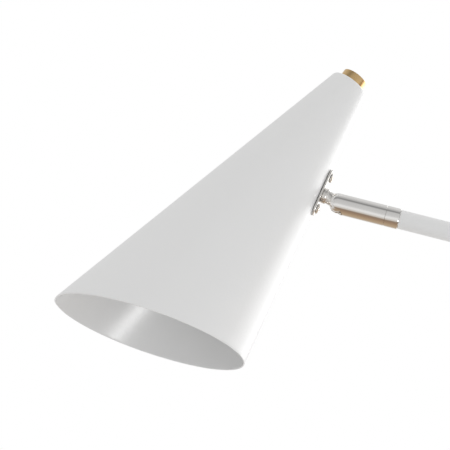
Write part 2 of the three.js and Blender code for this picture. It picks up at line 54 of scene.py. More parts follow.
# %% [markdown]
# ## Places that the joints give
#
# A joint's axis is a real place on the lamp: the ball's centre, the line of the arm, the square
# line out of the mounting plate. Reading them from the structure, instead of typing them again,
# means that the pieces can't drift away from the parts they stand for.
#
# From them come four working frames. In each one Z is the line that a lathe would turn on.

# %% Working frames from the joints
joints = {joint["name"]: joint for joint in frame["joints"]}
ball_centre = Vector(joints["head_tilt"]["pos_m"])
pivot_centre = Vector(joints["arm_tilt"]["pos_m"])
arm_line = Vector(joints["barrel_turn"]["axis"]).normalized()      # from the pivot to the ball
plate_out = Vector(joints["head_turn"]["axis"]).normalized()       # square out of the cone's wall
across = Vector((0, 1, 0))                                         # square to the lamp's plane


def working_frame(origin, z_line):
    """A frame with Z along a line in the lamp's plane and Y across it."""
    x_line = across.cross(z_line)
    columns = Matrix((x_line, across, z_line)).transposed()
    return Matrix.Translation(origin) @ columns.to_4x4()


HALF_ANGLE = radians(12.66)          # between the cone's axis and its wall
BALL_OFF_WALL = 16.1 * MM            # from the cone's wall to the ball's centre
BALL_FROM_APEX = 174.0 * MM          # along the wall, from the cone's virtual tip
PLATE_FROM_APEX = 170.0 * MM

along_wall = Vector((plate_out.z, 0, -plate_out.x))                # from the tip to the mouth
cone_up = plate_out * sin(HALF_ANGLE) - along_wall * cos(HALF_ANGLE)
apex = ball_centre - along_wall * BALL_FROM_APEX - plate_out * BALL_OFF_WALL

shade_frame = working_frame(apex, cone_up)
plate_frame = working_frame(apex + along_wall * PLATE_FROM_APEX, plate_out)
arm_frame = working_frame(pivot_centre, arm_line)
swivel_frame = working_frame(ball_centre, arm_line)
upright = Matrix.Identity(4)
print("ball", tuple(round(v, 4) for v in ball_centre), "apex", tuple(round(v, 4) for v in apex))

# %% [markdown]
# ## The camera
#
# The view is a close-up of the head from in front and a little below, with a long lens, so that
# the cone's edges stay straight and the arm runs out of the view. The camera is placed from the
# ball's centre: how far it stands off, and how far right of and above the view's middle the ball
# appears. A camera placed by hand would lose the ball whenever the arm's length changed.

# %% Camera
VIEW_AZIMUTH = radians(3.3)
VIEW_ELEVATION = radians(-18.7)
STAND_OFF = 1.492                    # metres, as are the next two
BALL_RIGHT = 0.0933
BALL_ABOVE = 0.0177
LENS = 144                           # millimetres, on a sensor 36 mm wide
SENSOR_WIDTH = 36

backward = Vector((sin(VIEW_AZIMUTH) * cos(VIEW_ELEVATION),
                   -cos(VIEW_AZIMUTH) * cos(VIEW_ELEVATION), sin(VIEW_ELEVATION)))
rightward = Vector((cos(VIEW_AZIMUTH), sin(VIEW_AZIMUTH), 0))
upward = backward.cross(rightward)
eye = ball_centre - rightward * BALL_RIGHT - upward * BALL_ABOVE + backward * STAND_OFF

bpy.ops.object.camera_add(location=eye)
camera = bpy.context.object
camera.rotation_mode = "QUATERNION"
camera.rotation_quaternion = Matrix((rightward, upward, backward)).transposed().to_quaternion()
camera.data.sensor_width = SENSOR_WIDTH
camera.data.lens = LENS
camera.data.clip_start = 0.05
camera.data.clip_end = 30
bpy.context.scene.camera = camera
print("camera at", tuple(round(v, 3) for v in eye))

# %% [markdown]
# ## Shader arithmetic
#
# A finish is a small program of nodes. Writing each node out hides the idea, so one class wraps a
# node's output and lets it take part in ordinary arithmetic: `0.3 + 0.1 * grain` adds a multiply
# and an add node. Every other kind of node comes from one method, `Sheet.node`.

# %% Amounts
class Amount:
    """The output of a node. Arithmetic on it adds Math nodes."""

    def __init__(self, sheet, socket):
        self.sheet, self.socket = sheet, socket

    def math(self, operation, *values):
        return self.sheet.node("ShaderNodeMath", {"operation": operation}, dict(enumerate(values)))

    def __add__(self, other):
        return self.math("ADD", self, other)

    def __sub__(self, other):
        return self.math("SUBTRACT", self, other)

    def __rsub__(self, other):
        return self.math("SUBTRACT", other, self)

    def __mul__(self, other):
        return self.math("MULTIPLY", self, other)

    def __pow__(self, other):
        return self.math("POWER", self, other)

    __radd__ = __add__
    __rmul__ = __mul__


# %% [markdown]
# A sheet is one node tree. Its `node` method takes a node's type, its settings and its sockets. A
# plain number is set on the socket itself, and an amount is linked to it. The other methods are
# short names for the few nodes that every finish uses.
#
# Patterns read Object coordinates, so a grain keeps its real size. A Mapping node centres them
# on a working frame when a pattern has to follow a piece, as a lathe's rings do.

# %% Sheets
class Sheet:
    """The node tree of one finish."""

    def __init__(self, tree):
        self.tree = tree
        tree.nodes.clear()

    def node(self, kind, settings=None, sockets=None, out=0):
        made = self.tree.nodes.new(kind)
        for key, value in (settings or {}).items():
            if key == "stops":
                self.set_stops(made.color_ramp, value)
            else:
                setattr(made, key, value)
        for key, value in (sockets or {}).items():
            if isinstance(value, Amount):
                self.tree.links.new(value.socket, made.inputs[key])
            else:
                made.inputs[key].default_value = value
        if isinstance(out, tuple):
            return [Amount(self, made.outputs[name]) for name in out]
        return Amount(self, made.outputs[out]) if made.outputs else made

    @staticmethod
    def set_stops(ramp, stops):
        while len(ramp.elements) < len(stops):
            ramp.elements.new(0.5)
        for element, (position, tone) in zip(ramp.elements, stops):
            element.position = position
            element.color = tone

    def place(self, pattern_frame=Matrix.Identity(4)):
        """Object coordinates in metres, seen from a working frame."""
        return self.node("ShaderNodeMapping", {"vector_type": "TEXTURE"}, {
            "Vector": self.node("ShaderNodeTexCoord", out="Object"),
            "Location": pattern_frame.to_translation(), "Rotation": pattern_frame.to_euler()})

    def axes(self, place):
        """The X, Y and Z of a place, as three amounts."""
        return self.node("ShaderNodeSeparateXYZ", {}, {"Vector": place}, out=("X", "Y", "Z"))

    def noise(self, place, scale, detail, roughness):
        return self.node("ShaderNodeTexNoise", {}, {
            "Vector": place, "Scale": scale, "Detail": detail, "Roughness": roughness})

    def mix(self, share, first, second):
        """Two colours, mixed. The share is 0 for the first and 1 for the second."""
        return self.node("ShaderNodeMix", {"data_type": "RGBA"}, {0: share, 6: first, 7: second}, out=2)

    def bump(self, height, depth):
        return self.node("ShaderNodeBump", {}, {"Height": height, "Distance": depth, "Strength": 1.0})


# %% [markdown]
# A finish is one Principled shader. Values that hold all over a piece are set on it directly, and
# a small function says what changes over the surface.

# %% New finishes
def colour(red, green, blue):
    return (red, green, blue, 1.0)


def new_finish(name, fixed, varying=None):
    """A finish from values set on the shader itself, and from those that change over the surface."""
    material = bpy.data.materials.new(name)
    material.use_nodes = True
    sheet = Sheet(material.node_tree)
    sockets = dict(fixed)
    if varying:
        sockets.update(varying(sheet))
    shader = sheet.node("ShaderNodeBsdfPrincipled", {}, sockets)
    sheet.node("ShaderNodeOutputMaterial", {}, {"Surface": shader})
    return material


# %% [markdown]
# ## The studio
#
# The lamp stands on a pale floor in an evenly lit white room. A bright room all round shows as a
# plain white background. Metal shows what it reflects, so its reflections come from a banded
# room. The bands run round the left-right line: brown below, then a bright strip, pale grey at
# eye level, one dark band above it where the ceiling meets the wall, and a light ceiling.
#
# The brown on the underside of the polished parts is a reflection of that warm ground, and isn't
# a colour of the metal. Cards hung round the lamp could give the same bands, but they would cast
# shadows, and each view from another side would show them.

# %% Room
ROOM_LIGHT = 0.87                    # what painted surfaces get
FROM_ARM_SIDE = 0.16                 # how much more they get from the arm's side
ROOM_BANDS = [                       # elevation in degrees, in front of the lamp; over 90 is behind
    (-180, (1.05, 1.05, 1.05)), (-160, (0.66, 0.60, 0.54)), (-140, (0.54, 0.42, 0.30)),
    (-115, (0.50, 0.37, 0.25)), (-90, (0.40, 0.28, 0.19)), (-70, (0.32, 0.23, 0.165)),
    (-61, (0.36, 0.29, 0.23)), (-54, (0.66, 0.61, 0.56)), (-42, (0.78, 0.77, 0.75)),
    (-33, (0.92, 0.92, 0.92)), (-20, (0.88, 0.88, 0.88)), (-10, (0.70, 0.70, 0.70)),
    (6, (0.65, 0.65, 0.65)), (32, (0.62, 0.62, 0.62)), (41, (0.36, 0.36, 0.36)),
    (51, (0.27, 0.27, 0.27)), (59, (0.43, 0.43, 0.43)), (74, (0.60, 0.60, 0.60)),
    (100, (0.76, 0.76, 0.76)), (135, (0.76, 0.76, 0.76)), (162, (0.80, 0.80, 0.80)),
    (180, (1.05, 1.05, 1.05)),
]

world = bpy.data.worlds.new("room")
bpy.context.scene.world = world
world.use_nodes = True
sheet = Sheet(world.node_tree)
seen, mirrored = sheet.node("ShaderNodeLightPath", out=("Is Camera Ray", "Is Glossy Ray"))
x, y, z = sheet.axes(sheet.node("ShaderNodeTexCoord"))
around = z.math("ARCTAN2", z, 0 - y) * (1 / (2 * pi)) + 0.5
stops = [(0.5 + degrees_up / 360, colour(*value)) for degrees_up, value in ROOM_BANDS]
bands = sheet.node("ShaderNodeValToRGB", {"stops": stops}, {0: around})
amount = ROOM_LIGHT + FROM_ARM_SIDE * x
even = sheet.node("ShaderNodeCombineColor", {}, dict.fromkeys(range(3), amount))
lit = sheet.mix(mirrored, even, bands)
shown = sheet.mix(seen, lit, colour(1, 1, 1))
background = sheet.node("ShaderNodeBackground", {}, {"Color": shown, "Strength": 1.0})
sheet.node("ShaderNodeOutputWorld", {}, {"Surface": background})

bpy.context.scene.view_settings.view_transform = "Standard"
print("room:", len(ROOM_BANDS), "bands")

# %% [markdown]
# The floor is plain, pale and matt, and far wider than any view of the lamp, so that its edge
# never shows. It lies a hair below the rubber pad. Mirrors don't see it, because the room's own
# warm ground is what the polished parts reflect.

# %% Floor
FLOOR_SIZE = 60
FLOOR_BELOW_PAD = 0.6 * MM

bpy.ops.mesh.primitive_plane_add(size=FLOOR_SIZE, location=(0, 0, -FLOOR_BELOW_PAD))
floor = bpy.context.object
floor.name = "floor"
floor.visible_glossy = False
floor.data.materials.append(new_finish("pale_floor", {
    "Base Color": colour(0.87, 0.87, 0.87), "Roughness": 0.9, "Specular IOR Level": 0.2}))
print("floor", tuple(floor.dimensions))

# %% [markdown]
# Two soft lights do the rest. A broad one stands behind the lamp on the arm's side, and only
# grazes the cone, so that the cone's edge there fades to white. A small one stands low in front,
# on the arm's side, where the inner wall mirrors it towards the camera as one soft streak. It is
# hidden from matt surfaces, because it is there for that streak alone.

# %% Lights
def add_softbox(name, aim, azimuth, elevation, distance, size, radiance):
    """A square light that faces a point from a direction, given in degrees."""
    a, e = radians(azimuth), radians(elevation)
    away = Vector((sin(a) * cos(e), -cos(a) * cos(e), sin(e)))
    bpy.ops.object.light_add(type="AREA", location=aim + away * distance)
    light = bpy.context.object
    light.name = name
    light.rotation_mode = "QUATERNION"
    light.rotation_quaternion = away.to_track_quat("Z", "Y")
    light.data.shape = "SQUARE"
    light.data.size = size
    light.data.energy = radiance * pi * size ** 2
    print(name, "at", tuple(round(v, 2) for v in light.location), round(light.data.energy, 1), "W")
    return light


head_middle = shade_frame @ Vector((0, 0, -0.22))
add_softbox("grazing_light", head_middle, azimuth=132, elevation=10, distance=1.2, size=1.1, radiance=1.9)
streak_light = add_softbox("streak_light", head_middle, azimuth=38, elevation=-42.3, distance=1.6,
                           size=0.22, radiance=90)
streak_light.visible_diffuse = False

# %% [markdown]
# ## Turning on the lathe
#
# Most of this lamp is turned or spun: the cone, the cap, the barrel, the tubes and the base. On
# the real object a profile is cut while the piece spins, and Blender has the same idea. One
# vertex is drawn out into a profile by extruding it from point to point, and Spin carries the
# profile round the Z axis. The seam and the poles are then merged, so that the shell is closed.
#
# A subdivided cylinder could be pushed into these shapes too, but every ring would need its own
# scaling. A drawn profile says the shape in a dozen points.

# %% Selecting and merging
def only(piece):
    """Leave edit mode and select one piece alone."""
    if bpy.context.mode != "OBJECT":
        bpy.ops.object.mode_set(mode="OBJECT")
    bpy.ops.object.select_all(action="DESELECT")
    if piece is not None:
        piece.select_set(True)
        bpy.context.view_layer.objects.active = piece


def edit(piece):
    only(piece)
    bpy.ops.object.mode_set(mode="EDIT")
    bpy.ops.mesh.select_all(action="SELECT")


def close_up(piece):
    """Merge doubles, drop stray edges and turn every face outwards."""
    edit(piece)
    bpy.ops.mesh.remove_doubles(threshold=2e-6)
    bpy.ops.mesh.delete_loose()
    bpy.ops.mesh.select_all(action="SELECT")
    bpy.ops.mesh.normals_make_consistent(inside=False)
    only(piece)


def bake_place(piece):
    only(piece)
    bpy.ops.object.transform_apply(location=True, rotation=True, scale=True)
    return piece


# %% [markdown]
# A profile is a list of points, each a radius and a height in millimetres. A profile that ends
# where it began gives a tube, and one that ends on the axis gives a closed solid. Rounded edges
# are short arcs in the profile, as a turner would cut them.

# %% Turning a profile
def turn_profile(name, profile, steps=64):
    """Turn a profile of (radius, height) points, in millimetres, about Z."""
    only(None)
    radius, height = profile[0]
    bpy.ops.mesh.primitive_circle_add(vertices=3, radius=MM / 2, location=(radius * MM, 0, height * MM))
    piece = bake_place(bpy.context.object)
    piece.name = name
    edit(piece)
    bpy.ops.mesh.merge(type="CENTER")
    for (r0, z0), (r1, z1) in zip(profile, profile[1:]):
        step = ((r1 - r0) * MM, 0, (z1 - z0) * MM)
        bpy.ops.mesh.extrude_vertices_move(TRANSFORM_OT_translate={"value": step})
    bpy.ops.mesh.select_all(action="SELECT")
    bpy.ops.mesh.spin(steps=steps, angle=2 * pi, center=(0, 0, 0), axis=(0, 0, 1))
    close_up(piece)
    return piece


def arc(centre_r, centre_z, radius, start, end, steps=8):
    """Points on a circle, from one angle to another, in degrees from the radial direction."""
    angles = [radians(start + (end - start) * i / steps) for i in range(steps + 1)]
    return [(centre_r + radius * cos(a), centre_z + radius * sin(a)) for a in angles]


def tube_profile(radius, bore, low, high, ease=0.35):
    """A tube's section with its outer corners rounded off a little."""
    return [(bore, low), (radius - ease, low), (radius - ease * 0.3, low + ease * 0.3),
            (radius, low + ease), (radius, high - ease), (radius - ease * 0.3, high - ease * 0.3),
            (radius - ease, high), (bore, high), (bore, low)]


# %% [markdown]
# ## Drilling, milling and joining
#
# The parts that aren't round all over were round once, and were then cut. The cutters here are
# plain rods and blocks, and Boolean takes them out of the piece, as a mill would. A narrow bevel
# then breaks the sharp edges, because no real edge is perfectly sharp, and the bevel is what
# catches the light.

# %% Cutters
def rod(radius, low, high, along="Z", at=(0, 0, 0), sides=48):
    """A round cutter between two heights on its own line, in millimetres."""
    only(None)
    bpy.ops.mesh.primitive_cylinder_add(vertices=sides, radius=radius * MM, depth=(high - low) * MM,
                                        location=(0, 0, (low + high) / 2 * MM))
    tool = bake_place(bpy.context.object)
    turns = {"Z": Matrix(), "X": Matrix.Rotation(pi / 2, 4, "Y"), "Y": Matrix.Rotation(-pi / 2, 4, "X")}
    tool.matrix_world = Matrix.Translation(Vector(at) * MM) @ turns[along]
    return bake_place(tool)


def block(size, at, turn=0):
    """A block cutter, by its size and middle in millimetres, turned about Z in degrees."""
    only(None)
    bpy.ops.mesh.primitive_cube_add(size=1, location=Vector(at) * MM, rotation=(0, 0, radians(turn)),
                                    scale=Vector(size) * MM)
    return bake_place(bpy.context.object)


# %% [markdown]
# Modifiers are applied at once, one after another, so that each step works on a real mesh. The
# exact solver is slower than the fast one, but leaves a closed shell where surfaces nearly touch.

# %% Cutting and softening
def apply_modifier(piece, kind, **settings):
    only(piece)
    modifier = piece.modifiers.new(kind.lower(), kind)
    for key, value in settings.items():
        setattr(modifier, key, value)
    bpy.ops.object.modifier_apply(modifier=modifier.name)


def cut_away(piece, *tools, operation="DIFFERENCE"):
    """Cut closed shapes out of a piece, or keep what they share, and throw the tools away."""
    for tool in tools:
        apply_modifier(piece, "BOOLEAN", object=tool, operation=operation, solver="EXACT")
        bpy.data.objects.remove(tool)


def soften(piece, width, segments=2, sharper_than=40):
    """Round the edges that are sharper than an angle."""
    apply_modifier(piece, "BEVEL", width=width * MM, segments=segments, limit_method="ANGLE",
                   angle_limit=radians(sharper_than))


# %% [markdown]
# Each piece is made about the origin, along Z, because that is where turning and drilling are
# simplest. It is then moved to its working frame, and the move is baked into its mesh, so that
# the object itself stays at the origin and Object coordinates are the lamp's own.

# %% Placing, joining and copying
def settle(piece, place, smooth=35):
    """Put a piece in its working frame, and bake that place into its mesh."""
    piece.matrix_world = place @ piece.matrix_world
    bake_place(piece)
    bpy.ops.object.shade_smooth_by_angle(angle=radians(smooth))
    return piece


def joined(piece, *others):
    """One piece from several shells."""
    only(piece)
    for other in others:
        other.select_set(True)
    bpy.ops.object.join()
    return piece


def second_of(piece, name):
    """A copy with its own mesh."""
    twin = piece.copy()
    twin.data = piece.data.copy()
    twin.name = name
    bpy.context.scene.collection.objects.link(twin)
    return twin


def turned_to(direction):
    """The turn that takes Z to another direction."""
    return Vector((0, 0, 1)).rotation_difference(Vector(direction)).to_matrix().to_4x4()


# %% [markdown]
# ## White powder coat
#
# The cone, the arm, the pole and the base are powder-coated white. Powder melts into a skin that
# is never quite flat: it has a faint orange-peel texture a millimetre or two across, and its
# gloss wanders a little. Both are drawn here with noise on Object coordinates, in metres, so that
# the grain has its real size on every part.

# %% White powder coat
def powder_coat(sheet):
    peel = sheet.noise(sheet.place(), 420, 3, 0.55)
    drift = sheet.noise(sheet.place(), 9, 2, 0.5)
    return {
        "Base Color": sheet.mix(drift, colour(0.79, 0.79, 0.787), colour(0.82, 0.82, 0.818)),
        "Roughness": 0.26 + 0.10 * drift + 0.05 * peel,
        "Normal": sheet.bump(peel, 0.00006),
    }


white_paint = new_finish("white_powder_coat", {"IOR": 1.48}, powder_coat)

# %% [markdown]
# ## Metals
#
# The barrel, the ferrule and the fork are polished and nickel-plated, so they mirror the room.
# The plate, the screws and the ball stud are a duller nickel. The cap and the knob are turned
# brass under a clear lacquer, and still show the fine rings that the lathe left. Hidden hardware
# is zinc-plated, with the faint crystal pattern of that plating, and the ballast is a rough
# casting under black paint.

# %% Nickel
def polished(sheet):
    smudge = sheet.noise(sheet.place(), 55, 3, 0.6)
    hairline = sheet.noise(sheet.place(), 1400, 1, 0.5)
    return {
        "Base Color": sheet.mix(smudge, colour(0.80, 0.785, 0.765), colour(0.86, 0.85, 0.835)),
        "Roughness": 0.06 + 0.07 * smudge,
        "Normal": sheet.bump(hairline, 0.000004),
    }


def satin(sheet):
    haze = sheet.noise(sheet.place(), 90, 3, 0.6)
    rub = sheet.noise(sheet.place(), 2200, 2, 0.5)
    return {
        "Base Color": sheet.mix(haze, colour(0.66, 0.64, 0.61), colour(0.78, 0.765, 0.74)),
        "Roughness": 0.20 + 0.14 * haze,
        "Normal": sheet.bump(rub, 0.00001),
    }


METAL = {"Metallic": 1.0}
polished_nickel = new_finish("polished_nickel", METAL, polished)
satin_nickel = new_finish("satin_nickel", METAL, satin)

# %% [markdown]
# On plain surfaces one noise is enough. It moves the colour, the roughness and the height
# together, so a dark speck is also a smooth and a low one.

# %% Zinc and iron
def grained(dark, light, roughness, more, grain, depth, detail=3, contrast=0.6):
    def varying(sheet):
        tooth = sheet.noise(sheet.place(), grain, detail, contrast)
        return {
            "Base Color": sheet.mix(tooth, dark, light),
            "Roughness": roughness + more * tooth,
            "Normal": sheet.bump(tooth, depth),
        }
    return varying


zinc_steel = new_finish("zinc_plated_steel", METAL, grained(
    colour(0.50, 0.51, 0.53), colour(0.68, 0.68, 0.67), 0.30, 0.16, 260, 0.00002))
cast_iron = new_finish("black_cast_iron", {"Metallic": 0.3}, grained(
    colour(0.018, 0.018, 0.019), colour(0.05, 0.05, 0.052), 0.55, 0.25, 700, 0.0003, 4, 0.65))

# %% [markdown]
# The lathe's rings run round the line that a piece was turned on, so each brass part needs its
# own working frame. Distance from that line and height along it are the pattern's only two
# coordinates, which makes every ring run all the way round.

# %% Turned brass
RINGS_PER_METRE = 5200


def turned_brass(frame_of_piece):
    """Brass with lathe rings about the Z line of a working frame."""
    def varying(sheet):
        x, y, z = sheet.axes(sheet.place(frame_of_piece))
        radius = (x * x + y * y) ** 0.5
        ring_place = sheet.node("ShaderNodeCombineXYZ", {}, {
            "X": radius * RINGS_PER_METRE, "Y": z * RINGS_PER_METRE})
        rings = sheet.noise(ring_place, 1.0, 2, 0.6)
        tarnish = sheet.noise(sheet.place(), 120, 3, 0.6)
        return {
            "Base Color": sheet.mix(tarnish, colour(0.62, 0.42, 0.19), colour(0.74, 0.53, 0.28)),
            "Roughness": 0.22 + 0.16 * rings,
            "Normal": sheet.bump(rings, 0.000012),
        }
    return varying


knob_frame = Matrix.Translation(pivot_centre) @ turned_to((0, 1, 0))
cap_brass = new_finish("turned_brass_cap", METAL, turned_brass(shade_frame))
knob_brass = new_finish("turned_brass_knob", METAL, turned_brass(knob_frame))

# %% [markdown]
# ## Rubber, plastic, glass and the bulb's metal
#
# The soft parts are moulded. Rubber is nearly black and matt, with a fine tooth. The plastic is
# off-white and a little glossy. The bulb's glass is frosted on the inside: it scatters light like
# milk and keeps a smooth outer skin, which Coat gives it.

# %% Moulded parts and the bulb
black_rubber = new_finish("black_rubber", {}, grained(
    colour(0.012, 0.012, 0.013), colour(0.028, 0.028, 0.029), 0.60, 0.12, 900, 0.00005))
pad_rubber = new_finish("pad_rubber", {}, grained(
    colour(0.02, 0.02, 0.02), colour(0.045, 0.045, 0.045), 0.70, 0.12, 500, 0.0001))
white_plastic = new_finish("white_plastic", {}, grained(
    colour(0.72, 0.71, 0.68), colour(0.78, 0.77, 0.74), 0.34, 0.12, 600, 0.00003))
frosted_glass = new_finish("frosted_glass", {"Coat Weight": 1.0, "Coat Roughness": 0.05}, grained(
    colour(0.84, 0.84, 0.82), colour(0.88, 0.88, 0.86), 0.55, 0.12, 300, 0.00001))
bulb_metal = new_finish("rolled_aluminium", METAL, satin)

# %% [markdown]
# ## Who carries what
#
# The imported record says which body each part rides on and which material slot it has. A finished
# piece takes both from the part that it stands for. Parts that no piece stands for are hidden
# hardware. They keep the structure's own shape, and get the finish of their slot.

# %% Finishes by slot, and dressing a piece
finish_of_slot = {
    "white_paint": white_paint, "polished_nickel": polished_nickel, "satin_nickel": satin_nickel,
    "brushed_brass": knob_brass, "zinc_steel": zinc_steel, "cast_iron": cast_iron,
    "pad_rubber": pad_rubber, "black_rubber": black_rubber, "white_plastic": white_plastic,
    "bulb_metal": bulb_metal, "frosted_glass": frosted_glass,
}
slot_of = {part["node"]: part["material_slot"] for part in frame["record"]["subparts"]}
body_of = {node: body for body, nodes in frame["record"]["behaviour"]["bodies"].items()
           for node in nodes}
dressed = set()


def paint_with(piece, slot, finish=None):
    piece.data.materials.clear()
    piece.data.materials.append(finish or finish_of_slot[slot])


def dress(piece, *parts, finish=None):
    """Give a piece its body and its slot's finish, and let it stand for these parts."""
    paint_with(piece, slot_of[parts[0]], finish)
    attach(piece, body_of[parts[0]])
    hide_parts(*parts)
    dressed.update(parts)
    print(f"{piece.name}: {len(piece.data.polygons)} faces")


def turned(name, profile, steps, place, smooth, part, finish=None):
    """A piece that is a turned profile and nothing more."""
    dress(settle(turn_profile(name, profile, steps), place, smooth), part, finish=finish)


# %% [markdown]
# ## The shade
#
# The real shade is a flat sheet rolled into a cone, seamed, and drawn in at the top. Its mouth is
# cut slantwise, so that one side is longer than the other. Here the outside is one turned profile
# that runs past the mouth, and Bisect makes the slanted cut, as shears would. Solidify then gives
# the sheet its thickness inwards, so the outside keeps its size.

# %% The cone's profile
TOP_K, NEAR_K, FAR_K = 73.2, 320.2, 371.3        # distances down the axis from the virtual tip
SHOULDER = 2.6                                   # radius of the drawn-in top edge
NIPPLE_HOLE = 5.3
PAST_MOUTH = 12                                  # how far the cone runs on before the cut
CONE_RINGS = 24
slope = tan(HALF_ANGLE)
mouth_near = Vector((NEAR_K * slope, 0, -NEAR_K)) * MM
mouth_far = Vector((-FAR_K * slope, 0, -FAR_K)) * MM


def cone_profile():
    """From the hole in the top, round the shoulder and straight down past the mouth."""
    turn_in = ((TOP_K + SHOULDER) * sin(HALF_ANGLE) - SHOULDER) / cos(HALF_ANGLE)
    profile = [(NIPPLE_HOLE, -TOP_K)]
    profile += arc(turn_in, -TOP_K - SHOULDER, SHOULDER, 90, degrees(HALF_ANGLE), 6)
    start_r, start_z = profile[-1]
    end_z = -FAR_K - PAST_MOUTH
    end_r = -end_z * slope
    shares = [i / CONE_RINGS for i in range(1, CONE_RINGS + 1)]
    return profile + [(start_r + (end_r - start_r) * share, start_z + (end_z - start_z) * share)
                      for share in shares]


print("mouth", round((mouth_near - mouth_far).length / MM, 1), "mm across, in the arm's plane")

# %% [markdown]
# Near the longest point the real edge lips outwards by about a millimetre. The edge is pulled
# out there with proportional editing, which fades the pull along the rim. A few lines scored
# just above the mouth give the pull something to bend.

# %% Cutting and shaping the mouth
def slice_mouth(piece, above, clear):
    """Cut a shell along its slanted mouth, or score a line a little above it."""
    rim_line = mouth_near - mouth_far
    downwards = Vector((rim_line.z, 0, -rim_line.x)).normalized()
    edit(piece)
    bpy.ops.mesh.bisect(plane_co=mouth_near - downwards * above * MM, plane_no=downwards,
                        clear_outer=clear)
    only(piece)


def lip_out(piece, amount, reach):
    """Pull the mouth's longest point outwards, fading along the rim."""
    edit(piece)
    bpy.ops.mesh.select_all(action="DESELECT")
    only(piece)
    for vertex in piece.data.vertices:
        vertex.select = (vertex.co - mouth_far).length < 2 * MM
    bpy.ops.object.mode_set(mode="EDIT")
    outwards = Vector((-cos(HALF_ANGLE), 0, sin(HALF_ANGLE))) * amount * MM
    bpy.ops.transform.translate(value=outwards, use_proportional_edit=True,
                                proportional_edit_falloff="SMOOTH", proportional_size=reach * MM)
    only(piece)


def face_outwards(piece):
    """Turn an open shell's faces away from its axis, so that a wall grows inwards from them."""
    looking_out = sum(face.normal.xy.dot(face.center.xy) for face in piece.data.polygons)
    if looking_out < 0:
        edit(piece)
        bpy.ops.mesh.flip_normals()
        only(piece)


# %% [markdown]
# The wall grows inwards from faces that point outwards, so they are turned the right way first.
# Recalculating the normals isn't reliable on an open shell, so the faces' own places decide.
#
# The holes for the two screws and the stud are drilled square to the wall, where the plate sits.

# %% Shade
WALL = 1.0
LIP, LIP_REACH = 1.2, 16
SCREW_PITCH, SCREW_HOLE = 29.4, 2.3
BOSS_ALONG, BOSS_CLEARANCE = 1.9, 6.4            # along the plate from its middle, and radius
SCREW_HOLES = [(-SCREW_PITCH / 2, SCREW_HOLE), (SCREW_PITCH / 2, SCREW_HOLE)]

shade = turn_profile("shade_cone", cone_profile(), 160)
slice_mouth(shade, 0, True)
for above in (2, 5, 9, 14):
    slice_mouth(shade, above, False)
lip_out(shade, LIP, LIP_REACH)
face_outwards(shade)
apply_modifier(shade, "SOLIDIFY", thickness=WALL * MM, offset=-1, use_even_offset=True,
               use_quality_normals=True)
in_plate = shade_frame.inverted() @ plate_frame
for along, radius in [*SCREW_HOLES, (BOSS_ALONG, BOSS_CLEARANCE)]:
    drill = rod(radius, -8, 8, at=(along, 0, 0), sides=32)
    drill.matrix_world = in_plate
    cut_away(shade, bake_place(drill))
soften(shade, 0.28, 2, 60)
dress(settle(shade, shade_frame, 32), "shade")

# %% [markdown]
# ## The cap
#
# A short brass button screws down on the nipple and closes the cone's top. It is turned from bar:
# flat on top, with its edges barely broken.

# %% Shade cap
CAP_BOTTOM = -72.9                   # a working gap above the cone's top
CAP_HEIGHT = 7.6
CAP_RADIUS, CAP_EDGE = 11.2, 0.45

low, high = CAP_BOTTOM, CAP_BOTTOM + CAP_HEIGHT
profile = [(NIPPLE_HOLE, low), (CAP_RADIUS - 0.3, low), (CAP_RADIUS, low + 0.3)]
profile += arc(CAP_RADIUS - CAP_EDGE, high - CAP_EDGE, CAP_EDGE, 0, 90, 4)
profile += [(0, high), (0, high - 1.4), (NIPPLE_HOLE, high - 1.4), (NIPPLE_HOLE, low)]
turned("shade_cap_button", profile, 96, shade_frame, 25, "shade_cap", finish=cap_brass)

# %% [markdown]
# ## The mounting plate
#
# The plate is a strip of sheet metal with round ends. A circle is drawn apart into the outline,
# filled, and given its thickness by extruding the face. A small bevel stands for the edge that
# a punch leaves.

# %% Mounting plate
PLATE_LENGTH, PLATE_WIDTH, PLATE_THICK = 42.5, 14.0, 1.6
STUD_HOLE = 3.7
AIR = 0.3                            # the working gap between any two parts
SEAT = AIR + PLATE_THICK + AIR       # where screw heads and the stud's boss bear on the plate

only(None)
bpy.ops.mesh.primitive_circle_add(vertices=64, radius=PLATE_WIDTH / 2 * MM, fill_type="NGON",
                                  location=(0, 0, AIR * MM), rotation=(0, 0, pi / 64))
plate = bake_place(bpy.context.object)
plate.name = "mounting_strip"
pull = (PLATE_LENGTH - PLATE_WIDTH) / 2 * MM
for side in (-1, 1):
    edit(plate)
    bpy.ops.mesh.select_all(action="DESELECT")
    only(plate)
    for vertex in plate.data.vertices:
        vertex.select = vertex.co.x * side > 0
    bpy.ops.object.mode_set(mode="EDIT")
    bpy.ops.transform.translate(value=(side * pull, 0, 0))
bpy.ops.mesh.select_all(action="SELECT")
bpy.ops.mesh.extrude_region_move(TRANSFORM_OT_translate={"value": (0, 0, PLATE_THICK * MM)})
close_up(plate)
for along, radius in [*SCREW_HOLES, (BOSS_ALONG, STUD_HOLE)]:
    cut_away(plate, rod(radius, -1, 4, at=(along, 0, 0), sides=32))
soften(plate, 0.2, 2, 50)
dress(settle(plate, plate_frame, 30), "mounting_plate")

# %% [markdown]
# ## The plate's screws
#
# Each screw has a low domed head with a cross recess. The dome is part of a sphere, found from
# the head's radius and the dome's rise, and two crossed blocks are cut from it. Real screws never
# stop at the same angle, so the lower one is turned a little further.

# %% Screws
def on_plate(along):
    return plate_frame @ Matrix.Translation((along * MM, 0, 0))


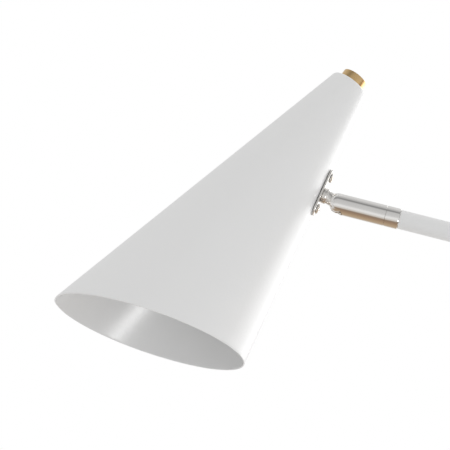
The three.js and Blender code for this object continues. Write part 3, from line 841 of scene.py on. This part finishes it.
def pan_screw(turn):
    """A domed head with a cross recess, and its shank."""
    head_height, head_radius, rise = 2.5, 4.25, 1.6
    sphere = (head_radius ** 2 + rise ** 2) / (2 * rise)
    start = degrees(asin((sphere - rise) / sphere))
    profile = [(0, -5), (1.7, -5), (2, -4.7), (2, SEAT), (head_radius - 0.2, SEAT),
               (head_radius, SEAT + 0.2)]
    profile += arc(0, SEAT + head_height - sphere, sphere, start, 90, 8)
    profile[-1] = (0, SEAT + head_height)
    screw = turn_profile("pan_screw_upper", profile, 48)
    recess = [block((4.6, 0.95, 2.4), (0, 0, SEAT + 2.1), turn + quarter) for quarter in (0, 90)]
    cut_away(screw, *recess)
    soften(screw, 0.1, 2, 45)
    return screw


upper_screw = pan_screw(12)
lower_screw = second_of(upper_screw, "pan_screw_lower")
dress(settle(upper_screw, on_plate(-SCREW_PITCH / 2), 30), "plate_screw_upper")
further = Matrix.Rotation(radians(38), 4, "Z")
dress(settle(lower_screw, on_plate(SCREW_PITCH / 2) @ further, 30), "plate_screw_lower")

# %% [markdown]
# ## Hexagon nuts
#
# Inside the cone each screw has a small nut, and the ball stud has a larger one. A nut is six
# steps of a spin. Its corners are turned off by keeping only what it shares with a round crown.
# The crown's steps aren't a multiple of six, which keeps most of its edges off the nut's corners.

# %% Nuts
CROWN_STEPS = 50


def hex_nut(name, radius, bore, low, high):
    """A six-sided nut with its corners turned off."""
    ease = radius * 0.06
    nut = turn_profile(name, [(0, low - 1), (radius, low - 1), (radius, high + 1), (0, high + 1)], 6)
    profile = [(0, low), (radius * 0.9, low), (radius, low + ease), (radius, high - ease),
               (radius * 0.9, high), (0, high)]
    crown = turn_profile("crown", profile, CROWN_STEPS)
    cut_away(nut, crown, operation="INTERSECT")
    cut_away(nut, rod(bore, low - 1, high + 1, sides=32))
    soften(nut, 0.12, 1, 50)
    return nut


upper_nut = hex_nut("plate_nut_upper", 4, SCREW_HOLE, -4, -1.7)
lower_nut = second_of(upper_nut, "plate_nut_lower")
dress(settle(upper_nut, on_plate(-SCREW_PITCH / 2), 30), "screw_nut_upper")
dress(settle(lower_nut, on_plate(SCREW_PITCH / 2), 30), "screw_nut_lower")
stud_nut = hex_nut("ball_stud_nut", 5.8, STUD_HOLE, -3.7, -0.1)
dress(settle(stud_nut, on_plate(BOSS_ALONG) @ Matrix.Rotation(pi / 2, 4, "Z"), 30), "stud_nut")

# %% [markdown]
# ## The ball stud
#
# The stud is one forging: a round boss that bears on the plate, a neck that leans towards the
# plate's middle, and the ball inside the barrel. The boss and the neck are turned about two
# different lines, so they are two shells in one piece.

# %% Ball stud
BALL_ALONG = (BALL_FROM_APEX - PLATE_FROM_APEX) / MM
BALL_HEIGHT = BALL_OFF_WALL / MM
BALL_RADIUS = 7.0
BOSS_TOP = 6.2

profile = [(1.7, -4), (3.1, -4), (3.4, -3.7), (3.4, SEAT), (6.1, SEAT), (6.5, SEAT + 0.4),
           (6.5, SEAT + 1.5), (6.3, SEAT + 1.7), (6.3, SEAT + 1.9), (6.5, SEAT + 2.1)]
profile += arc(5.5, BOSS_TOP - 1.0, 1.0, 0, 90, 5)
profile += [(1.7, BOSS_TOP), (1.7, -4)]
boss = turn_profile("ball_stud_forging", profile, 64)
boss.matrix_world = Matrix.Translation((BOSS_ALONG * MM, 0, 0))
bake_place(boss)

foot = Vector((BOSS_ALONG, 0, BOSS_TOP - 0.6)) * MM
ball = Vector((BALL_ALONG, 0, BALL_HEIGHT)) * MM
reach = (foot - ball).length / MM
profile = [(0, reach), (6.1, reach), (5.9, reach - 0.5), (5.55, reach - 0.9), (5.45, reach - 1.6),
           (5.3, reach - 3.0)]
profile += arc(0, 0, BALL_RADIUS, 41, -90, 20)
profile[-1] = (0, -BALL_RADIUS)
neck = turn_profile("neck", profile, 64)
neck.matrix_world = Matrix.Translation(ball) @ turned_to(foot - ball)
bake_place(neck)
dress(settle(joined(boss, neck), plate_frame, 40), "ball_stud")

# %% [markdown]
# ## The barrel
#
# The barrel is a tube with a round nose. The ball sits in the nose, and a slot runs from the
# nose down the underside, which lets the neck swing from straight ahead to square with the arm.
# The outside and the bore are one turned profile. The slot is cut with a wedge and two round
# cutters, as a slotting cutter would leave it.
#
# In this frame Z runs towards the nose, and X is the arm's upper side.

# %% Barrel
BARREL_RADIUS, BORE, CABLE_HOLE = 8.7, 7.3, 5.4
BARREL_END, BORE_END = -41.0, -34.0
SLOT_HALF, SLOT_UP, SLOT_DOWN, SLOT_REACH = 6.0, 22, 90, 14


def slot_wedge():
    """A pie slice as wide as the slot, spun from the slot's upper end to its lower end."""
    only(None)
    bpy.ops.mesh.primitive_plane_add(size=1, location=(0, 0, SLOT_REACH / 2 * MM))
    wedge = bpy.context.object
    wedge.rotation_euler = (0, pi / 2, 0)
    wedge.scale = (SLOT_REACH * MM, 2 * SLOT_HALF * MM, 1)
    bake_place(wedge)
    wedge.matrix_world = Matrix.Rotation(radians(SLOT_UP), 4, "Y")
    bake_place(wedge)
    edit(wedge)
    bpy.ops.mesh.spin(steps=48, angle=radians(SLOT_UP + SLOT_DOWN), center=(0, 0, 0), axis=(0, 1, 0))
    close_up(wedge)
    return wedge


def slot_end(degrees_up):
    end = rod(SLOT_HALF, 0, SLOT_REACH, sides=64)
    end.matrix_world = Matrix.Rotation(radians(degrees_up), 4, "Y")
    return bake_place(end)


profile = [(CABLE_HOLE, BARREL_END), (8.55, BARREL_END), (BARREL_RADIUS, BARREL_END + 0.15)]
profile += arc(0, 0, BARREL_RADIUS, 0, 90, 24)
profile[-1] = (0, BARREL_RADIUS)
profile += [(0, BORE)] + arc(0, 0, BORE, 90, 0, 24)[1:]
profile += [(BORE, BORE_END), (CABLE_HOLE, BORE_END), (CABLE_HOLE, BARREL_END)]
barrel = turn_profile("slotted_barrel", profile, 128)
cut_away(barrel, slot_wedge(), slot_end(SLOT_UP), slot_end(-SLOT_DOWN))
soften(barrel, 0.15, 2, 50)
dress(settle(barrel, swivel_frame, 28), "swivel_barrel")

# %% [markdown]
# ## The ferrule and the arm
#
# The ferrule ends the arm. It has the barrel's diameter, and the hairline between the two is
# where the barrel turns. A low lip on each of its ends reaches into the working gap, so that no
# light shows through. The arm itself is a painted tube, trimmed square, with the paint rounding
# its ends a little.

# %% Ferrule and arm tube
ARM_RADIUS, TUBE_WALL = 7.95, 1.2
ARM_LENGTH = (ball_centre - pivot_centre).length / MM
FERRULE_FRONT, FERRULE_BACK = -41.3, -52.6
ARM_START = 27.3

front, back, lip = FERRULE_FRONT, FERRULE_BACK, 0.22
profile = [(CABLE_HOLE, front + lip), (8.3, front + lip), (8.35, front), (8.55, front),
           (BARREL_RADIUS, front - 0.15), (BARREL_RADIUS, back + 0.5), (8.55, back + 0.15),
           (8.2, back), (7.6, back), (7.55, back - lip), (CABLE_HOLE, back - lip),
           (CABLE_HOLE, front + lip)]
turned("barrel_ferrule", profile, 128, swivel_frame, 28, "swivel_ferrule")

arm_tip = ARM_LENGTH + FERRULE_BACK - AIR
arm_section = tube_profile(ARM_RADIUS, ARM_RADIUS - TUBE_WALL, ARM_START, arm_tip)
turned("painted_arm", arm_section, 96, arm_frame, 40, "arm_tube")

# %% [markdown]
# ## The knuckle
#
# The arm's lower end is a round tongue that fills the fork. A neck runs from it to a flange that
# closes the tube. The tongue is turned about the pivot's line and the neck about the arm's.

# %% Arm knuckle
TONGUE_RADIUS, TONGUE_HALF, BOLT_HOLE = 9.5, 3.5, 3.3

tongue = tube_profile(TONGUE_RADIUS, BOLT_HOLE, -TONGUE_HALF, TONGUE_HALF, 0.5)
disc = turn_profile("knuckle_forging", tongue)
disc.matrix_world = turned_to((0, 1, 0))
bake_place(disc)
flange = ARM_START - AIR
plug, bore = ARM_RADIUS - TUBE_WALL - AIR, 3.3
profile = [(0, 8.4), (3.4, 8.4), (3.9, 9.6), (4.6, 10.6), (4.6, 21.5)]
profile += [(4.8, 22.6), (5.4, 23.5), (6.4, 24.0), (7.6, 24.0), (ARM_RADIUS, 24.35),
            (ARM_RADIUS, flange - 0.3), (7.65, flange), (plug, flange), (plug, 45.3),
            (bore, 45.3), (bore, 25.3), (0, 25.3)]
neck = turn_profile("neck", profile)
dress(settle(joined(disc, neck), arm_frame, 35), "arm_knuckle")

# %% [markdown]
# ## The fork
#
# The fork starts as a round bar. Its top is rounded over the pivot, flats are milled on both
# sides, and a slot is cut down the middle for the tongue. Below the foot a spigot drops into
# the housing, where the whole arm turns.

# %% Pivot fork
FORK_RADIUS, FORK_BORE, FORK_BOTTOM, FORK_FLOOR = 11, 3.4, 1246.3, 1251
CHEEK_RADIUS, CHEEK_INNER, CHEEK_OUTER = 10, 5, 8.6
PIVOT_Z = pivot_centre.z / MM
HOUSING_RADIUS, HOUSING_BOTTOM, HOUSING_TOP, HOUSING_WALL = 9.5, 1221.6, 1246, 2

low, top = FORK_BOTTOM, PIVOT_Z + CHEEK_RADIUS + 2
spigot = HOUSING_RADIUS - HOUSING_WALL - AIR
profile = [(FORK_BORE, HOUSING_TOP - 9), (spigot - 0.4, HOUSING_TOP - 9),
           (spigot, HOUSING_TOP - 8.6), (spigot, low), (FORK_RADIUS, low), (FORK_RADIUS, top),
           (0, top), (0, FORK_FLOOR - 0.5), (FORK_BORE, FORK_FLOOR - 0.5),
           (FORK_BORE, HOUSING_TOP - 9)]
fork = turn_profile("milled_fork", profile, 96)
round_top = rod(CHEEK_RADIUS, -20, 20, "Y", (0, 0, PIVOT_Z), 96)
shank = block((2 * CHEEK_RADIUS, 40, PIVOT_Z - FORK_FLOOR + 0.6),
              (0, 0, (PIVOT_Z + FORK_FLOOR - 0.6) / 2))
below = block((40, 40, 40), (0, 0, FORK_FLOOR - 20))
cut_away(shank, round_top, operation="UNION")
cut_away(shank, below, operation="UNION")
cut_away(fork, shank, operation="INTERSECT")
middle = (FORK_FLOOR + top + 4) / 2
height = top + 4 - FORK_FLOOR
cut_away(fork, block((40, 2 * CHEEK_INNER, height), (0, 0, middle)),
         *[block((40, 10, height), (0, side * (CHEEK_OUTER + 5), middle)) for side in (-1, 1)],
         rod(BOLT_HOLE, -20, 20, "Y", (0, 0, PIVOT_Z)),
         rod(FORK_BORE, FORK_FLOOR - 2, FORK_FLOOR + 2))
soften(fork, 0.35, 2, 40)
dress(settle(fork, upright, 35), "pivot_fork")

# %% [markdown]
# Below the fork the housing hides its nut, and a short bush caps the pole. Both are turned, with
# a fine groove at the joint that hides the working gap.

# %% Housing and bush
POLE_RADIUS, POLE_FOOT, POLE_JOINT, POLE_TOP = 9.5, 20.3, 640, 1218

cup = HOUSING_RADIUS - HOUSING_WALL
low, high = HOUSING_BOTTOM, HOUSING_TOP
side = HOUSING_RADIUS
profile = [(CABLE_HOLE, low), (8.9, low), (9.3, low + 0.2), (side, low + 0.7), (side, low + 3.2),
           (9.25, low + 3.5), (9.25, low + 4.1), (side, low + 4.4), (side, high - 0.7),
           (9.3, high - 0.2), (8.9, high), (cup, high), (cup, low + 4), (CABLE_HOLE, low + 4),
           (CABLE_HOLE, low)]
turned("turning_housing", profile, 96, upright, 30, "swivel_housing")

plug, seat = POLE_RADIUS - TUBE_WALL - AIR, POLE_TOP + AIR
profile = [(CABLE_HOLE, POLE_TOP - 22), (plug - 0.5, POLE_TOP - 22), (plug, POLE_TOP - 21.5),
           (plug, seat), (9.2, seat), (POLE_RADIUS, seat + 0.3), (POLE_RADIUS, seat + 2.7), (9.2, seat + 3),
           (CABLE_HOLE, seat + 3), (CABLE_HOLE, POLE_TOP - 22)]
turned("pole_top_bush", profile, 96, upright, 30, "pole_top_insert")

# %% [markdown]
# A friction disc on each side of the tongue holds the arm where it's put. The knob presses the
# fork's cheeks on them. The second disc is a copy of the first, moved across the tongue.

# %% Friction discs
DISC_RADIUS, DISC_THICK = 9, 0.9
disc_low = -TONGUE_HALF - AIR - DISC_THICK
disc_section = tube_profile(DISC_RADIUS, BOLT_HOLE, disc_low, disc_low + DISC_THICK, 0.25)
near_washer = turn_profile("friction_disc_near", disc_section)
far_washer = second_of(near_washer, "friction_disc_far")
to_far_side = 2 * (TONGUE_HALF + AIR) + DISC_THICK
far_washer.matrix_world = Matrix.Translation((0, 0, to_far_side * MM))
dress(settle(near_washer, knob_frame, 30), "friction_washer_near")
dress(settle(far_washer, knob_frame, 30), "friction_washer_far")

# %% [markdown]
# ## The thumb knob and the cap nut
#
# The knob is a turned brass button with six finger flutes milled in its rim. The same round
# cutter cuts each of them, a sixth of a turn on from the last. On the bolt's other end sits a domed cap nut.

# %% Knob, bolt and cap nut
low, high = 12.6, 24.6                          # the grip, along the bolt
profile = [(3.3, 8.9), (5.7, 8.9), (6.0, 9.2), (6.0, low - 0.4), (6.4, low), (10.9, low)]
profile += arc(10.9, low + 1, 1.0, -90, 0, 4)[1:] + arc(10.9, high - 1, 1.0, 0, 90, 4)
profile += [(8.2, high), (7.6, high - 0.5), (0, high - 0.5), (0, 16.9), (3.3, 16.9), (3.3, 8.9)]
knob = turn_profile("fluted_knob", profile, 96)
flute = 7.0
for i in range(6):
    angle = radians(30 + 60 * i)
    reach = 10.1 + flute
    beside = (reach * cos(angle), reach * sin(angle), 0)
    cut_away(knob, rod(flute, low - 2, high + 2, at=beside, sides=64))
soften(knob, 0.4, 3, 50)
dress(settle(knob, knob_frame, 35), "pivot_knob")

low, high = -CHEEK_OUTER - 8, -CHEEK_OUTER - AIR
profile = [(BOLT_HOLE, high), (BOLT_HOLE, low + 2.7), (0, low + 2.7), (0, low)]
profile += [(2.0, low + 0.2), (3.5, low + 0.6), (4.8, low + 1.6), (5.6, low + 2.7), (5.8, low + 4.0),
            (5.8, low + 4.6), (6.2, low + 5.0), (6.2, high - 0.3), (5.9, high), (BOLT_HOLE, high)]
turned("domed_cap_nut", profile, 64, knob_frame, 30, "pivot_cap_nut")

low, high = -CHEEK_OUTER - 5, CHEEK_OUTER + 8
profile = [(0, low), (2.5, low), (3, low + 0.5), (3, high - 0.5), (2.5, high), (0, high)]
turned("pivot_bolt_turned", profile, 48, knob_frame, 30, "pivot_bolt")

# %% [markdown]
# ## The pole
#
# Two painted tubes screw together about halfway up, so that the lamp packs flat. The joint
# shows as a hairline. At the foot a painted collar hides the hole in the base.

# %% Pole tubes and collar
tubes = (("lower_pole", POLE_FOOT, POLE_JOINT), ("upper_pole", POLE_JOINT + AIR, POLE_TOP))
for name, low, high in tubes:
    section = tube_profile(POLE_RADIUS, POLE_RADIUS - TUBE_WALL, low, high)
    turned(f"painted_{name}", section, 96, upright, 40, name)

low, high, bore = POLE_FOOT, POLE_FOOT + 12, POLE_RADIUS + AIR
profile = [(bore, low), (14.7, low), (15, low + 0.3), (15, high - 5.2)]
profile += arc(10.2, high - 4.8, 4.8, 4, 90, 8)
profile += [(bore, high), (bore, low)]
turned("domed_foot_collar", profile, 96, upright, 30, "foot_collar")

# %% [markdown]
# ## The base
#
# A spun steel cover hides a cast weight and stands on a rubber pad. The cover's edge is rounded
# over a former, so it has one smooth curve from its flat top to the skirt. The pad is moulded with
# shallow rings below, which grip the floor. A rubber gland guards the hole for the supply
# cord in the skirt.

# %% Base cover, pad and gland
BASE_RADIUS = 135
GLAND_Z = 8

top, wall, skirt, edge = 20, 1.5, 1.2, 5
inner_edge = edge - wall
profile = [(CABLE_HOLE, top - wall), (CABLE_HOLE, top)]
profile += [(radius, top) for radius in (20, 60, 100)]
profile += arc(BASE_RADIUS - edge, top - edge, edge, 90, 0, 10)
profile += [(BASE_RADIUS, skirt + 0.3), (BASE_RADIUS - 0.3, skirt), (BASE_RADIUS - wall, skirt)]
profile += arc(BASE_RADIUS - edge, top - edge, inner_edge, 0, 90, 8)
profile += [(CABLE_HOLE, top - wall)]
cover = turn_profile("spun_base_cover", profile, 192)
cut_away(cover, rod(5.2, BASE_RADIUS - 8, BASE_RADIUS + 4, "X", (0, 0, GLAND_Z), 48))
dress(settle(cover, upright, 25), "base_cover")

profile = [(0, 0)]
for ring in (24, 48, 72, 96, 118):
    profile += [(ring - 1.5, 0), (ring - 0.7, 0.8), (ring + 0.7, 0.8), (ring + 1.5, 0)]
profile += [(128.4, 0), (129, 0.6), (129, 1.6), (128.6, 2), (0, 2)]
turned("ringed_base_pad", profile, 160, upright, 30, "base_pad")

inner, flange, out = BASE_RADIUS - 4.5, BASE_RADIUS + AIR, BASE_RADIUS + 3.6
profile = [(3.2, inner), (4.6, inner), (4.9, inner + 0.3), (4.9, flange), (5.9, flange),
           (6.2, flange + 0.3)]
profile += arc(5.0, out - 1.2, 1.2, 0, 90, 5)
profile += [(3.6, out), (3.2, out - 0.5), (3.2, inner)]
gland_frame = Matrix.Translation((0, 0, GLAND_Z * MM)) @ turned_to((1, 0, 0))
turned("cord_gland", profile, 64, gland_frame, 30, "base_cable_gland")

# %% [markdown]
# ## The lamp holder and the bulb
#
# Inside the cone a plastic holder hangs from the nipple, with a thin brass liner that the
# bulb screws into. The bulb is a small frosted globe. Its metal base has the rolled thread that
# gives the screw its grip, drawn here as rounded rings.

# %% Lamp holder, liner, bulb
HOLDER_TOP, HOLDER_LOW, HOLDER_RADIUS, HOLDER_BORE = -94, -132, 14.5, 12
BULB_CENTRE, GLASS_RADIUS, NECK_RADIUS, NECK_TOP = -168, 22.5, 11.5, -136

low, high, outer = HOLDER_LOW, HOLDER_TOP, HOLDER_RADIUS
profile = [(HOLDER_BORE, low), (outer - 0.4, low), (outer, low + 0.4), (outer, low + 5),
           (outer - 0.4, low + 5.4), (outer - 0.4, low + 6.4), (outer, low + 6.8), (outer, high - 5)]
profile += arc(outer - 5, high - 5, 5.0, 0, 90, 8)
profile += [(NIPPLE_HOLE, high), (NIPPLE_HOLE, high - 4), (HOLDER_BORE, high - 8),
            (HOLDER_BORE, low)]
turned("lamp_holder_cup", profile, 96, shade_frame, 30, "lamp_holder")


def thread_rings(radius, depth, low, high, pitch=3.6):
    """A rolled thread's outline between two heights: rounded ridges and hollows."""
    count = int((high - low) / pitch) * 6
    return [(radius - depth / 2 + depth / 2 * cos(2 * pi * i / 6), low + (high - low) * i / count)
            for i in range(count + 1)]


low, high, outer = HOLDER_LOW + 1, HOLDER_TOP - 9, HOLDER_BORE - AIR
profile = [(outer - 0.6, low), (outer, low), (outer, high), (outer - 0.6, high), (outer - 0.6, low)]
turned("holder_liner", profile, 64, shade_frame, 30, "holder_thread_liner", finish=cap_brass)

base_radius = HOLDER_BORE - 2 * AIR - 0.6
low, high = NECK_TOP + 0.4, HOLDER_TOP - 18
thread = thread_rings(base_radius, 0.9, low + 1, high - 4.5)
profile = [(base_radius - 0.9, low), (base_radius, low), *thread, (5, high), (0, high),
           (0, high - 1), (4.7, high - 1), (base_radius - 0.9, high - 4.5),
           (base_radius - 0.9, low)]
turned("bulb_cap", profile, 64, shade_frame, 35, "bulb_screw_base")

start = 90 - degrees(asin(NECK_RADIUS / GLASS_RADIUS))
inner = GLASS_RADIUS - 1
profile = [(NECK_RADIUS - 1, NECK_TOP), (NECK_RADIUS, NECK_TOP), (NECK_RADIUS + 0.2, NECK_TOP - 6)]
profile += arc(0, BULB_CENTRE, GLASS_RADIUS, start - 6, -90, 24)
profile[-1] = (0, BULB_CENTRE - GLASS_RADIUS)
profile += [(0, BULB_CENTRE - inner)] + arc(0, BULB_CENTRE, inner, -90, start - 6, 24)[1:]
profile += [(NECK_RADIUS - 0.8, NECK_TOP - 6), (NECK_RADIUS - 1, NECK_TOP)]
turned("bulb_globe", profile, 96, shade_frame, 40, "bulb_glass")

# %% [markdown]
# ## The lead inside the cone
#
# A short lead joins the holder to the hollow ball stud. It is a smooth path through a few places
# on its way, given a round section, and then made into a mesh with closed ends.

# %% Lead inside the shade
stops = [(30.6, -163.4), (27, -159), (24, -150), (21.6, -138), (19.4, -122), (17.4, -113)]
only(None)
bpy.ops.curve.primitive_nurbs_path_add()
lead = bpy.context.object
lead.name = "holder_lead_wire"
line = lead.data.splines[0]
line.points.add(len(stops) - len(line.points))
for point, (x, z) in zip(line.points, stops):
    point.co = (x * MM, 0, z * MM, 1)
line.use_endpoint_u = True
lead.data.resolution_u = 6
lead.data.bevel_depth = 1.6 * MM
lead.data.bevel_resolution = 4
lead.data.use_fill_caps = True
bpy.ops.object.convert(target="MESH")
close_up(lead)
dress(settle(lead, shade_frame, 50), "holder_lead")

# %% [markdown]
# ## Hidden hardware
#
# What is left is inside something else: threaded plugs, nipples, nuts, the spring, the seat and
# the cable's inner run. The structure's shapes serve as they are, and each takes its slot's finish.

# %% Finishes for the hidden parts
for node, part in frame["nodes"].items():
    if node not in dressed:
        paint_with(part, slot_of[node])
print("hidden parts:", sorted(set(frame["nodes"]) - dressed))
